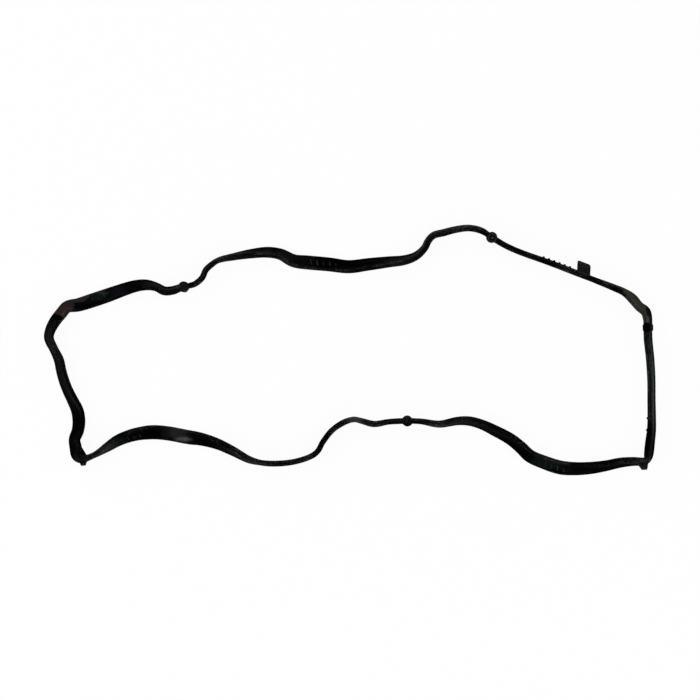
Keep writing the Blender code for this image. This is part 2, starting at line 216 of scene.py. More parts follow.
# Places beside the route, in the same millimetres, that the details sit nearest to
FRONT_BOSS_PLACE = (42.7, -51.7)
BACK_BOSS_PLACE = (104.4, 82.4)
LEFT_BOSS_PLACE = (-120.6, 46.3)
PIP_PLACE = (-119.8, 46.4)
COLLAR_PLACE = (218.6, 16.5)
TAB_PLACE = (171.4, 54.4)
TEETH_PLACE = (160.6, 58.4)
NUB_PLACES = ((221.5, -49.7), (221.5, -58.6))
CORNER_WEB_PLACE = (-200.0, -72.0)

# Each corner lug: its place, and in metres its width at the strip, its reach and its slant
CORNER_LUGS = (
    ((-194.5, -80.2), 0.0066, 0.0022, 0.0),
    ((214.8, -81.6), 0.0080, 0.0034, 0.0010),
)

# Each row of plain ribs on the outer face: where it starts, how many, and how far above the
# middle of the face they sit, in metres
RIB_ROWS = (
    ((-9.5, 62.4), 5, 0.0004),
    ((-182.0, -74.0), 8, 0.0004),
    ((139.5, -81.2), 5, 0.0002),
    ((-178.5, 39.5), 3, 0.0008),
)

# How far each patch below spreads upwards, in millimetres
PATCH_RISE = 20.0

# Patches of painted light: grey paints highlights, teal, blue, brown, olive and beige paint
# reflections on the faces, rubber darkens the middle of the back boss's painted rings, and dust
# lays the rim colour in the front middle. For each: which colour, where its middle is and how far
# it spreads in millimetres, how soft its rim is and how strong it is
PAINTED_LIGHT_PATCHES = (
    ("teal", (-185.0, 41.0, 5), (10.0, 6.0), 0.5, 0.80),
    ("grey", (-182.0, 41.8, 5), (6.4, 1.8), 0.8, 0.24),
    ("blue", (-170.5, 42.0, 5), (8.0, 7.0), 0.5, 0.65),
    ("teal", (-147.0, 48.5, 5), (6.0, 8.0), 0.5, 0.50),
    ("brown", (-60.0, 70.5, 8), (5.0, 7.0), 0.8, 0.30),
    ("teal", (-47.0, 70.5, 6), (9.0, 10.0), 0.5, 0.60),
    ("teal", (36.7, 65.3, 6), (14.0, 8.0), 0.6, 0.60),
    ("grey", (104.4, 82.2, 11), (4.2, 4.2), 0.3, 0.26),
    ("rubber", (104.4, 82.2, 11), (2.4, 2.4), 0.2, 0.95),
    ("grey", (104.4, 82.2, 11), (1.2, 1.2), 0.4, 0.60),
    ("teal", (156.0, 60.0, 8), (10.0, 8.0), 0.6, 0.60),
    ("grey", (172.5, 59.0, 2), (7.5, 7.0), 0.5, 0.15),
    ("teal", (219.0, -8.0, 6), (10.0, 24.0), 0.4, 0.80),
    ("grey", (222.2, -35.0, 6), (1.4, 42.0), 0.7, 0.35),
    ("teal", (144.0, -82.5, 6), (15.0, 8.0), 0.5, 0.70),
    ("teal", (-174.0, -70.5, 6), (17.0, 10.0), 0.6, 0.80),
    ("grey", (-178.0, -72.0, 6), (10.0, 7.0), 0.8, 0.14),
    ("grey", (-126.6, -60.6, 5), (11.0, 7.5), 0.7, 0.20),
    ("blue", (-135.4, -62.0, 5), (4.5, 7.0), 0.6, 0.65),
    ("grey", (-122.5, -65.5, 4), (8.5, 2.6), 0.9, 1.00),
    ("brown", (-212.2, 29.0, 4), (5.0, 4.2), 0.12, 0.95),
    ("brown", (-206.7, 32.5, 4), (4.8, 5.0), 0.12, 0.95),
    ("brown", (-208.1, 27.5, 4), (4.4, 5.0), 0.15, 0.95),
    ("olive", (-201.0, 37.4, 5), (8.0, 2.6), 0.20, 0.95),
    ("olive", (-195.5, 39.4, 5), (4.5, 2.2), 0.20, 0.95),
    ("brown", (3.7, -50.7, 8), (8.5, 8.5), 0.6, 0.95),
    ("dust_and_glint", (3.7, -50.7, 9), (6.0, 4.0), 0.8, 0.35),
    ("beige", (204.8, 41.2, 6), (5.6, 5.8), 0.10, 0.90),
    ("beige", (211.5, 34.0, 6), (6.6, 7.6), 0.15, 0.95),
    ("beige", (216.8, 25.5, 6), (4.2, 6.6), 0.15, 0.95),
    ("grey", (218.2, 22.5, 8), (1.2, 3.4), 0.7, 0.60),
    ("teal", (213.6, -80.7, 6), (6.0, 5.0), 0.4, 0.90),
    ("grey", (214.0, -80.8, 8), (3.8, 1.2), 0.7, 0.50),
)

# Patches that lay the black rubber back over all the marks, in the same way, without a colour:
# they trim the painted reflections and darken the wear where the surface shows darker
BLACK_BACK_PATCHES = (
    ((218.6, 16.5, 6), (8.0, 3.8), 0.10, 0.95),
    ((219.7, 28.4, 6), (3.0, 4.6), 0.15, 0.95),
    ((221.2, 23.5, 6), (1.8, 5.0), 0.15, 0.95),
    ((198.6, 38.8, 6), (4.0, 3.6), 0.15, 0.90),
    ((192.0, 44.0, 6), (11.0, 3.6), 0.50, 0.70),
    ((-215.0, 23.6, 4), (4.6, 2.6), 0.15, 0.95),
    ((-215.4, 14.0, 4), (5.0, 9.0), 0.60, 0.70),
    ((-195.0, 31.2, 4), (10.0, 3.8), 0.40, 0.92),
    ((-186.1, 32.2, 4), (9.0, 3.4), 0.40, 0.92),
    ((-177.3, 34.5, 4), (9.0, 3.4), 0.40, 0.92),
    ((-168.0, 37.5, 4), (9.0, 3.4), 0.40, 0.92),
    ((-157.0, 44.0, 4), (9.0, 7.0), 0.50, 0.70),
    ((-198.5, -56.0, 4), (10.0, 19.0), 0.50, 0.85),
    ((-204.0, -75.0, 4), (8.5, 8.5), 0.50, 0.75),
    ((-108.0, -67.0, 4), (8.0, 6.0), 0.60, 0.80),
    ((55.0, 76.0, 6), (11.0, 16.0), 0.60, 0.70),
    ((103.0, -51.0, 6), (20.0, 10.0), 0.60, 0.55),
    ((170.0, -85.0, 6), (14.0, 8.0), 0.60, 0.70),
    ((219.2, -66.5, 6), (4.2, 18.0), 0.40, 0.80),
)


def length(name, default, description):
    """A size in metres that a user can change."""
    return FloatProperty(
        name=name, default=default, description=description, min=0.0, precision=5,
        subtype="DISTANCE", unit="LENGTH",
    )


def number(name, default, description, **limits):
    """A plain number that a user can change."""
    return FloatProperty(name=name, default=default, description=description, **limits)


def colour(name, default, description):
    """A colour that a user can change."""
    return FloatVectorProperty(
        name=name, default=default, description=description, min=0.0, max=1.0,
        size=4, subtype="COLOR",
    )


class StripSizes(PropertyGroup):
    """The strip's section and how finely it is swept."""

    height: length("Height", 0.0104, "Height of the standing strip")
    thickness: length("Thickness", 0.0042, "Thickness of the standing strip")
    corner: length("Corner", 0.0005, "Rounding of the strip's four long corners")
    lip_gap: length("Lip Gap", 0.0013, "Width of the groove between the two sealing lips")
    lip_depth: length("Lip Depth", 0.0008, "Depth of the groove between the two sealing lips")
    lip_edge: length("Lip Edge", 0.0002, "Rounding of the sealing lips")
    bead_width: length("Bead Width", 0.0024, "Width of the crush bead at the strip")
    bead_tip: length("Bead Tip", 0.0012, "Width of the crush bead at its tip")
    bead_depth: length("Bead Depth", 0.0009, "How far the crush bead stands below the body")
    bead_edge: length("Bead Edge", 0.0003, "Rounding of the crush bead")
    relief_height: length("Relief Height", 0.0052, "Height of the shallow relief on both faces")
    relief_depth: length("Relief Depth", 0.0003, "Depth of the shallow relief on both faces")
    relief_slope: length("Relief Slope", 0.0004, "How far the relief's edges run out")
    relief_edge: length("Relief Edge", 0.00015, "Rounding of the relief's edges")
    swell: number(
        "Swell", 0.03, "Share by which the strip swells and thins along the loop", min=0.0, max=0.2
    )
    step: length("Step", 0.0013, "Step between two sections")


class DetailSizes(PropertyGroup):
    """Everything that is moulded on the strip."""

    boss_diameter: length("Boss Diameter", 0.0080, "Diameter of the locating bosses")
    boss_proud: length("Boss Proud", 0.0006, "How far a boss stands above the strip")
    boss_edge: length("Boss Edge", 0.0006, "Rounding of a boss's top edge")
    pin_diameter: length("Pin Diameter", 0.0018, "Diameter of the pin in the back boss")
    groove_diameter: length("Groove Diameter", 0.0050, "Outer diameter of the groove round it")
    groove_depth: length("Groove Depth", 0.0004, "Depth of the groove round the pin")
    groove_slope: length("Groove Slope", 0.0003, "How far the groove's sides run out")
    groove_edge: length("Groove Edge", 0.0001, "Rounding of the groove's edges")
    pip_diameter: length("Pip Diameter", 0.0022, "Diameter of the pip beside the left boss")
    pip_sink: length("Pip Sink", 0.0009, "How deep the pip sits in its boss")
    pip_inset: length("Pip Inset", 0.0021, "How far the pip stops short of the strip's edges")
    collar_length: length("Collar Length", 0.0050, "Length of the collar along the strip")
    collar_proud: length("Collar Proud", 0.0009, "How far the collar stands off both faces")
    collar_inset: length("Collar Inset", 0.0009, "How far the collar stops short of the edges")
    collar_edge: length("Collar Edge", 0.0008, "Rounding of the collar")
    tab_reach: length("Tab Reach", 0.0073, "How far the tab reaches out of the strip")
    tab_width: length("Tab Width", 0.0103, "Width of the tab along the strip")
    tab_slant: length("Tab Slant", 0.0028, "How far the tab's end is moved along the strip")
    tab_thickness: length("Tab Thickness", 0.0030, "Thickness of the tab")
    tab_corner: length("Tab Corner", 0.0016, "Rounding of the tab's two far corners")
    tooth_count: IntProperty(
        name="Tooth Count", default=6, min=1, description="Number of grip teeth near the tab",
    )
    tooth_pitch: length("Tooth Pitch", 0.0041, "Distance between two grip teeth")
    tooth_diameter: length("Tooth Diameter", 0.0018, "Diameter of a grip tooth")
    tooth_inset: length("Tooth Inset", 0.0017, "How far a tooth stops short of the edges")
    nub_inset: length("Nub Inset", 0.0026, "How much shorter than the strip a nub's ends are")
    nub_rise: length("Nub Rise", 0.0020, "How far up the inner face a nub's middle sits")
    lug_inset: length("Lug Inset", 0.0020, "How far a corner lug stops short of the edges")
    lug_tip_share: number(
        "Lug Tip Share", 0.5, "Width of a lug's tip as a share of its root", min=0.05, max=1.0
    )
    web_reach: length("Web Reach", 0.0078, "How far the web reaches into the corner")
    web_width: length("Web Width", 0.0190, "Width of the web at the strip")
    web_height: length("Web Height", 0.0064, "Height of the web")
    web_tip_share: number(
        "Web Tip Share", 0.12, "Width of the web's tip as a share of its root", min=0.05, max=1.0
    )
    web_slant: length("Web Slant", 0.0062, "How far the web's tip is moved along the strip")
    root: length("Root", 0.0014, "How deep a tab's or lug's root runs into the strip")
    edge: length("Edge", 0.0003, "Rounding of the small details")
    rib_length: length("Rib Length", 0.0042, "Length of a plain rib up the face")
    rib_width: length("Rib Width", 0.0009, "Width of a plain rib")
    rib_height: length("Rib Height", 0.00012, "How far a plain rib stands off the face")
    rib_pitch: length("Rib Pitch", 0.0046, "Distance between two plain ribs")


class RubberFinish(PropertyGroup):
    """The colours and the surface of the rubber."""

    rubber: colour("Rubber", (0.0004, 0.0005, 0.0005, 1.0), "Clean black rubber")
    faded: colour("Faded", (0.0046, 0.0052, 0.0050, 1.0), "Rubber that is dulled by handling")
    # Lighter colour for rubbed streaks and painted highlights on the lips, and for the ribs
    wear_and_highlight: colour("Wear And Highlight", (0.0225, 0.0245, 0.0235, 1.0), "Rubbed streaks and painted highlights on the sealing lips, and lighter ribs")
    # Pale colour of dust and painted glints on the edges
    dust_and_glint: colour("Dust", (0.060, 0.063, 0.060, 1.0), "Dust, scuffs and painted glints on the edges")
    # Brown, olive and beige paint a warm reflection on faces that turn up to the light, mostly on
    # the twisted corners
    brown: colour("Brown Reflection", (0.0235, 0.0155, 0.0135, 1.0), "Painted brown reflection")
    olive: colour("Olive Reflection", (0.0195, 0.0185, 0.0140, 1.0), "Painted olive reflection beside the brown")
    beige: colour("Beige Reflection", (0.0300, 0.0265, 0.0205, 1.0), "Painted beige reflection on the back corner")
    # Teal and blue paint reflections of the surroundings on faces that lean to catch them
    teal: colour("Teal Tint", (0.0050, 0.0076, 0.0072, 1.0), "Painted grey-green reflection on the faces")
    blue: colour("Blue Tint", (0.0044, 0.0054, 0.0088, 1.0), "Painted blue reflection on the faces")
    # Grey paints highlights: the glint on the lying face, rings round the back boss's pin, and
    # lines on rims and corners
    grey: colour("Grey Highlight", (0.056, 0.064, 0.060, 1.0), "Painted highlight on the lying face")
    roughness: number("Roughness", 0.30, "Roughness of the rubber", min=0.0, max=1.0)
    grain: length("Grain", 0.00004, "Height of the moulded grain")


class StudioLook(PropertyGroup):
    """The floor, the lamps and the camera."""

    floor: colour("Floor", (0.96, 0.96, 0.96, 1.0), "Colour of the floor in the picture")
    bounce: colour("Bounce", (0.25, 0.25, 0.25, 1.0), "Colour of the floor for the light on it")
    floor_size: length("Floor Size", 12.0, "Width of the floor")
    world: number("World", 0.34, "Strength of the light from all round", min=0.0)
    zenith: number("Zenith", 0.05, "Strength of the light from overhead", min=0.0)
    lamp_power: number(
        "Lamp Power", 24.0, "Power of each lamp round the floor", min=0.0, unit="POWER"
    )
    top_power: number("Top Power", 3.0, "Power of the small lamp overhead", min=0.0, unit="POWER")
    camera_height: length("Camera Height", 3.0, "Height of the camera above the floor")
    lens: number("Lens", 209.8, "Focal length of the camera in mm", min=1.0)
    sensor: number("Sensor", 36.0, "Width of the camera's sensor in mm", min=1.0)


def rounded_section(sizes):
    """The strip's section, clockwise, with its corners rounded by vertex bevels.

    X is outwards and Y is up when the strip stands.
    """
    side = sizes.thickness / 2
    top = sizes.height / 2
    shoulder = sizes.bead_depth - top
    relief = sizes.relief_height / 2
    sunk = side - sizes.relief_depth
    outer_half = (
        (sizes.lip_gap / 2, top, sizes.lip_edge, 2),
        (side, top, sizes.corner, 4),
        (side, relief + sizes.relief_slope, sizes.relief_edge, 1),
        (sunk, relief, sizes.relief_edge, 1),
        (sunk, -relief, sizes.relief_edge, 1),
        (side, -relief - sizes.relief_slope, sizes.relief_edge, 1),
        (side, shoulder, sizes.corner, 3),
        (sizes.bead_width / 2, shoulder, sizes.bead_edge / 2, 1),
        (sizes.bead_tip / 2, -top, sizes.bead_edge, 2),
    )
    inner_half = tuple((-x, *rest) for x, *rest in reversed(outer_half))
    corners = ((0.0, top - sizes.lip_depth, sizes.lip_edge, 2), *outer_half, *inner_half)
    section = bmesh.new()
    verts = [section.verts.new((x, y, 0.0)) for x, y, _, _ in corners]
    face = section.faces.new(verts)
    for vert, (_, _, radius, segments) in zip(verts, corners):
        bmesh.ops.bevel(
            section, geom=[vert], offset=radius, segments=segments, profile=0.5,
            affect="VERTICES", material=-1,
        )
    section.faces.ensure_lookup_table()
    face = section.faces[0]
    outline = [vert.co.xy.copy() for vert in face.verts]
    section.free()
    return outline


def section_reach(outline, lean):
    """How far a leaning section reaches below its middle, and half of its width from above."""
    below = -min(p.x * math.sin(lean) + p.y * math.cos(lean) for p in outline)
    beside = max(p.x * math.cos(lean) - p.y * math.sin(lean) for p in outline)
    return below, beside


def smooth_route():
    """Join the route's points with a smooth closed curve, cut more finely where it bends."""
    points = [Vector(p) for p in FRONT_ROUTE + RIGHT_ROUTE + BACK_ROUTE + LEFT_ROUTE]
    count = len(points)
    route = []
    for i, here in enumerate(points):
        before, there, after = points[i - 1], points[(i + 1) % count], points[(i + 2) % count]
        back = (here - before).xy.length
        span = (there - here).xy.length
        ahead = (after - there).xy.length
        leaving = (there - before) * (span / (back + span))
        arriving = (after - here) * (span / (span + ahead))
        turn = leaving.xy.angle(arriving.xy)
        steps = max(1, math.ceil(turn / SHARPEST_TURN), math.ceil(span * MM / ROUTE_STEP))
        curve = interpolate_bezier(here, here + leaving / 3, there - arriving / 3, there, steps + 1)
        route.extend(curve[:-1])
    return route


def stretch_to(values, reaches, low_end, high_end):
    """Scale and shift one coordinate so that the strip's outside runs from end to end."""
    low = min(range(len(values)), key=lambda i: values[i] - reaches[i])
    high = max(range(len(values)), key=lambda i: values[i] + reaches[i])
    size = high_end - low_end
    factor = (size - reaches[low] - reaches[high]) / (values[high] - values[low])
    return factor, values[low] * factor - reaches[low] - low_end


class Route:
    """The strip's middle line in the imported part's box, with its lean, and frames along it."""

    def __init__(self, sizes):
        self.outline = rounded_section(sizes)
        drawn = smooth_route()
        self.leans = [math.radians(p.z) for p in drawn]
        reaches = [section_reach(self.outline, lean) for lean in self.leans]
        beside = [reach[1] for reach in reaches]
        low, high = GASKET_LOW, GASKET_HIGH
        self.fit_x = stretch_to([p.x * MM for p in drawn], beside, low.x, high.x)
        self.fit_y = stretch_to([p.y * MM for p in drawn], beside, low.y, high.y)
        self.points = [
            Vector((*self.fitted(p.x, p.y), reach[0])) for p, reach in zip(drawn, reaches)
        ]
        self.distances = [0.0]
        self.directions = []
        for i, here in enumerate(self.points):
            there = self.points[(i + 1) % len(self.points)]
            self.distances.append(self.distances[-1] + (there - here).xy.length)
            self.directions.append((there - self.points[i - 1]).xy.to_3d().normalized())

    def fitted(self, x, y):
        """Take a place in the route's millimetres to its place on the loop."""
        factor_x, shift_x = self.fit_x
        factor_y, shift_y = self.fit_y
        return x * MM * factor_x - shift_x, y * MM * factor_y - shift_y

    def distance_near(self, place):
        """The distance along the route at which it passes nearest to a place."""
        target = Vector(self.fitted(*place))
        best = (math.inf, 0.0)
        for i, here in enumerate(self.points):
            along = self.points[(i + 1) % len(self.points)].xy - here.xy
            share = (target - here.xy).dot(along) / along.length_squared
            share = min(max(share, 0.0), 1.0)
            miss = (here.xy + along * share - target).length
            best = min(best, (miss, self.distances[i] + share * along.length))
        return best[1]

    def frame(self, distance, upright=False):
        """The section's own axes at a distance: X outwards, Y along the strip, Z up its height.

        An upright frame stands on z = 0 with its Z straight up, whatever the strip's lean.
        """
        distance %= self.distances[-1]
        i = bisect_right(self.distances, distance) - 1
        after = (i + 1) % len(self.points)
        share = (distance - self.distances[i]) / (self.distances[i + 1] - self.distances[i])
        middle = self.points[i].lerp(self.points[after], share)
        along = self.directions[i].lerp(self.directions[after], share).normalized()
        lean = self.leans[i] + (self.leans[after] - self.leans[i]) * share
        if upright:
            lean = 0.0
            middle.z = 0.0
        outwards = along.cross(Vector((0, 0, 1)))
        side = outwards * math.cos(lean) + Vector((0, 0, math.sin(lean)))
        height = Vector((0, 0, math.cos(lean))) - outwards * math.sin(lean)
        turned = Matrix((side, along, height)).transposed().to_4x4()
        return Matrix.Translation(middle) @ turned


def current_route(context):
    """The route that the scene's strip sizes give."""
    return Route(context.scene.gasket_strip)


def moulding(context):
    """The sizes of the details and of the strip, and the route that they sit on."""
    scene = context.scene
    return scene.gasket_details, scene.gasket_strip, current_route(context)


def details_collection():
    """The collection of what is moulded on the strip."""
    found = bpy.data.collections.get(DETAILS)
    if found is None:
        found = bpy.data.collections.new(DETAILS)
        bpy.context.scene.collection.children.link(found)
    return found


def swept_strip(route, sizes):
    """Extrude the section's ring once round the route, cut it finely and lay it on the route."""
    shape = bmesh.new()
    place = shape.verts.layers.int.new("place")
    reached = shape.verts.layers.float.new("reached")
    ring = [shape.verts.new((*p, 0.0)) for p in route.outline]
    for number, vert in enumerate(ring):
        vert[place] = number
    edges = [shape.edges.new(pair) for pair in zip(ring, ring[1:] + ring[:1])]
    whole = route.distances[-1]
    stretches = math.ceil(whole / EXTRUDED_STEP)
    for number in range(1, stretches + 1):
        grown = bmesh.ops.extrude_edge_only(shape, edges=edges)["geom"]
        ring = {item for item in grown if isinstance(item, bmesh.types.BMVert)}
        edges = [
            item for item in grown
            if isinstance(item, bmesh.types.BMEdge) and ring.issuperset(item.verts)
        ]
        for vert in ring:
            vert[reached] = whole * number / stretches
    lengthways = [edge for edge in shape.edges if edge.verts[0][place] == edge.verts[1][place]]
    cuts = math.ceil(whole / stretches / sizes.step) - 1
    bmesh.ops.subdivide_edges(shape, edges=lengthways, cuts=cuts)
    rings = {}
    for vert in shape.verts:
        rings.setdefault(vert[reached], []).append(vert)
    for distance, ring in rings.items():
        axes = route.frame(distance)
        fatter = 1.0 + sizes.swell * noise.noise(axes.translation * SWELL_SCALE)
        for vert in ring:
            point = route.outline[vert[place]]
            vert.co = axes @ Vector((point.x * fatter, 0.0, point.y))
    bmesh.ops.remove_doubles(shape, verts=shape.verts, dist=WELD)
    shape.verts.layers.int.remove(place)
    shape.verts.layers.float.remove(shape.verts.layers.float["reached"])
    return shape


def new_object(name, data, collection):
    """Add an object to a collection."""
    item = bpy.data.objects.new(name, data)
    collection.objects.link(item)
    return item


def new_piece(name, shape, collection):
    """Turn a bmesh into an object with its faces pointing out."""
    bmesh.ops.recalc_face_normals(shape, faces=shape.faces)
    mesh = bpy.data.meshes.new(name)
    shape.to_mesh(mesh)
    shape.free()
    return new_object(name, mesh, collection)


def move(shape, x=0.0, y=0.0, z=0.0, verts=None):
    """Move the whole of a shape, or some of its points."""
    chosen = shape.verts if verts is None else verts
    bmesh.ops.translate(shape, vec=(x, y, z), verts=chosen)


def add_detail(name, shape, place):
    """Put a moulded detail at its place, to be joined to the strip."""
    bmesh.ops.transform(shape, matrix=place, verts=shape.verts)
    return new_piece(name, shape, details_collection())


def soften(shape, edges, radius, segments=2):
    """Round some edges."""
    bmesh.ops.bevel(
        shape, geom=edges, offset=radius, segments=segments, profile=0.5,
        affect="EDGES", material=-1,
    )


def cylinder(diameter, height, sides):
    """An upright cylinder centred on the origin."""
    shape = bmesh.new()
    bmesh.ops.create_cone(
        shape, cap_ends=True, segments=sides,
        radius1=diameter / 2, radius2=diameter / 2, depth=height,
    )
    return shape


def box(size_x, size_y, size_z):
    """A box centred on the origin."""
    shape = bmesh.new()
    bmesh.ops.create_cube(shape, size=1.0)
    bmesh.ops.scale(shape, vec=(size_x, size_y, size_z), verts=shape.verts)
    return shape


def cap_edges(shape):
    """The edges of a cylinder's two ends."""
    return [edge for edge in shape.edges if any(len(face.verts) > 4 for face in edge.link_faces)]


def boss(sizes, height):
    """A round boss that stands on z = 0, with a flat top."""
    shape = cylinder(sizes.boss_diameter, height, BOSS_SIDES)
    move(shape, z=height / 2)
    return shape


def round_boss(sizes, height):
    """A boss whose top edge is rounded."""
    shape = boss(sizes, height)
    soften(shape, cap_edges(shape), sizes.boss_edge, 4)
    return shape


def pin_boss(sizes, height):
    """A boss whose top has a groove round a pin as high as its rim."""
    shape = boss(sizes, height)
    top = max(shape.faces, key=lambda face: face.calc_center_median().z)
    rim = (sizes.boss_diameter - sizes.groove_diameter) / 2
    floor_width = (sizes.groove_diameter - sizes.pin_diameter) / 2 - 2 * sizes.groove_slope
    bmesh.ops.inset_region(shape, faces=[top], thickness=rim)
    bmesh.ops.inset_region(shape, faces=[top], thickness=sizes.groove_slope)
    move(shape, z=-sizes.groove_depth, verts=top.verts)
    bmesh.ops.inset_region(shape, faces=[top], thickness=floor_width)
    bmesh.ops.inset_region(shape, faces=[top], thickness=sizes.groove_slope)
    move(shape, z=sizes.groove_depth, verts=top.verts)
    bends = [
        edge for edge in shape.edges if GROOVE_BEND < edge.calc_face_angle() < BOSS_BEND
    ]
    soften(shape, bends, sizes.groove_edge)
    outer = [edge for edge in shape.edges if edge.calc_face_angle() > BOSS_BEND]
    soften(shape, outer, sizes.boss_edge, 3)
    return shape


def tooth(sizes, height):
    """A small half-round rib with rounded ends."""
    shape = cylinder(sizes.tooth_diameter, height, TOOTH_SIDES)
    soften(shape, cap_edges(shape), sizes.edge, 3)
    return shape


def collar(sizes, thickness, height):
    """A block with rounded edges that wraps the strip."""
    proud = thickness + 2 * sizes.collar_proud
    shape = box(proud, sizes.collar_length, height - 2 * sizes.collar_inset)
    soften(shape, shape.edges[:], sizes.collar_edge, 4)
    return shape


def wedge(start, end, width, height, tip_share, slant):
    """A block along X from start to end, whose far end is narrower and moved aside by slant."""
    shape = box(end - start, width, height)
    move(shape, x=(start + end) / 2)
    tip = [vert for vert in shape.verts if vert.co.x > (start + end) / 2]
    bmesh.ops.scale(shape, vec=(1, tip_share, 1), verts=tip)
    move(shape, y=slant, verts=tip)
    return shape


def tab(sizes, face):
    """A flat plate on z = 0 that reaches outwards from the strip, with rounded corners."""
    thickness = sizes.tab_thickness
    shape = wedge(
        face - sizes.root, face + sizes.tab_reach, sizes.tab_width, thickness, 1.0, sizes.tab_slant
    )
    move(shape, z=thickness / 2)
    corners = [
        edge for edge in shape.edges
        if all(vert.co.x > face for vert in edge.verts)
        and abs(edge.verts[0].co.z - edge.verts[1].co.z) > thickness / 2
    ]
    soften(shape, corners, sizes.tab_corner, 6)
    soften(shape, level_edges(shape, thickness), sizes.edge)
    return shape


def level_edges(shape, height):
    """The edges round the top and the bottom of a plate."""
    return [
        edge for edge in shape.edges
        if abs(edge.verts[0].co.z - edge.verts[1].co.z) < height / 2
        and edge.calc_face_angle() > PLATE_BEND
    ]


def lug(sizes, strip, width, reach, slant):
    """A wedge that narrows as it reaches outwards from a corner."""
    face = strip.thickness / 2
    height = strip.height - 2 * sizes.lug_inset
    shape = wedge(face - sizes.root, face + reach, width, height, sizes.lug_tip_share, slant)
    soften(shape, shape.edges[:], sizes.edge)
    return shape


def corner_web(sizes):
    """A low wedge on z = 0 that reaches inwards from the strip's middle into the corner."""
    height = sizes.web_height
    shape = wedge(
        0.0, sizes.web_reach, sizes.web_width, height, sizes.web_tip_share, -sizes.web_slant
    )
    move(shape, z=height / 2)
    bmesh.ops.rotate(shape, matrix=Matrix.Rotation(math.pi, 3, "Z"), verts=shape.verts)
    soften(shape, level_edges(shape, height), sizes.edge)
    return shape


def rib(sizes):
    """A low plain rib, slanted on the face, that runs up the strip."""
    shape = box(2 * sizes.rib_height, sizes.rib_width, sizes.rib_length)
    soften(shape, shape.edges[:], sizes.rib_height / 2, 1)
    bmesh.ops.rotate(shape, matrix=Matrix.Rotation(RIB_SLANT, 3, "X"), verts=shape.verts)
    return shape


def mark_surface(mesh, route, sizes):
    """Store each point's place on the strip, how sharp a rim it is on, and if it is on a rib."""
    shape = bmesh.new()
    shape.from_mesh(mesh)
    layers = {
        name: shape.verts.layers.float.new(name)
        for name in ("along", "across", "rise", "rim", "raised")
    }
    tree = KDTree(len(route.points))
    for i, point in enumerate(route.points):
        tree.insert(point, i)
    tree.balance()
    inverses = [route.frame(distance).inverted() for distance in route.distances[:-1]]
    side = sizes.thickness / 2
    relief = sizes.relief_height / 2
    panel = side - sizes.relief_depth * RAISED_SHARE
    for vert in shape.verts:
        nearest = tree.find(vert.co)[1]
        local = inverses[nearest] @ vert.co
        vert[layers["along"]] = route.distances[nearest] + local.y
        vert[layers["across"]] = local.x
        vert[layers["rise"]] = local.z
        in_relief = abs(local.z) < relief
        vert[layers["raised"]] = in_relief and panel < local.x < side
        beside_relief = abs(local.z) < relief + 2 * sizes.relief_slope
        if not (beside_relief and abs(local.x) < side + sizes.relief_depth):
            turn = max(edge.calc_face_angle_signed(0.0) for edge in vert.link_edges)
            vert[layers["rim"]] = min(max(turn / RIM_BEND, 0.0), 1.0)
    shape.to_mesh(mesh)
    shape.free()


class NodeTree:
    """A short way to add nodes to a material or a group and link them."""

    def __init__(self, tree):
        self.tree = tree

    def add(self, kind, label="", **settings):
        """Add a node with a label, and set its properties."""
        node = self.tree.nodes.new(kind)
        node.label = label
        for name, value in settings.items():
            setattr(node, name, value)
        return node

    def feed(self, socket, value):
        """Give an input a value, or a link where the value is another node's output."""
        if isinstance(value, bpy.types.NodeSocket):
            self.tree.links.new(value, socket)
        else:
            socket.default_value = value

    def put(self, node, **inputs):
        """Feed a node's inputs by their names."""
        for name, value in inputs.items():
            self.feed(node.inputs[name.replace("_", " ")], value)
        return node

    def math(self, operation, *values, clamp=False):
        """A Math node on one, two or three values."""
        node = self.add("ShaderNodeMath", operation=operation, use_clamp=clamp)
        for socket, value in zip(node.inputs, values):
            self.feed(socket, value)
        return node.outputs[0]

    def vector_math(self, operation, *vectors):
        """A Vector Math node on one or two vectors."""
        node = self.add("ShaderNodeVectorMath", operation=operation)
        for socket, vector in zip(node.inputs, vectors):
            self.feed(socket, vector)
        return node

    def ramp(self, value, low, high):
        """A smooth step from 0 at low to 1 at high, either of which may be the larger."""
        node = self.add("ShaderNodeMapRange", interpolation_type="SMOOTHSTEP")
        self.put(node, Value=value, From_Min=low, From_Max=high)
        return node.outputs["Result"]

    def noise(self, vector, scale, detail, roughness):
        """The value of a Noise Texture."""
        node = self.add("ShaderNodeTexNoise")
        self.put(node, Vector=vector, Scale=scale, Detail=detail, Roughness=roughness)
        return node.outputs["Fac"]

    def mix(self, share, under, over):
        """Mix two colours."""
        node = self.add("ShaderNodeMix", data_type="RGBA")
        sockets = {socket.identifier: socket for socket in node.inputs}
        self.feed(sockets["Factor_Float"], share)
        self.feed(sockets["A_Color"], under)
        self.feed(sockets["B_Color"], over)
        return next(s for s in node.outputs if s.identifier == "Result_Color")

    def attribute(self, name):
        """A value that the mesh stores at each point."""
        return self.add("ShaderNodeAttribute", attribute_name=name).outputs["Fac"]


def new_group(name, vectors, values, result):
    """Start a node group that takes vectors and values and gives one value.

    It returns the group's tree, what the group is given, and the node that takes its result.
    """
    tree = bpy.data.node_groups.new(name, "ShaderNodeTree")
    for kind, sockets in (("NodeSocketVector", vectors), ("NodeSocketFloat", values)):
        for socket in sockets:
            tree.interface.new_socket(socket, in_out="INPUT", socket_type=kind)
    tree.interface.new_socket(result, in_out="OUTPUT", socket_type="NodeSocketFloat")
    nodes = NodeTree(tree)
    return nodes, nodes.add("NodeGroupInput").outputs, nodes.add("NodeGroupOutput")


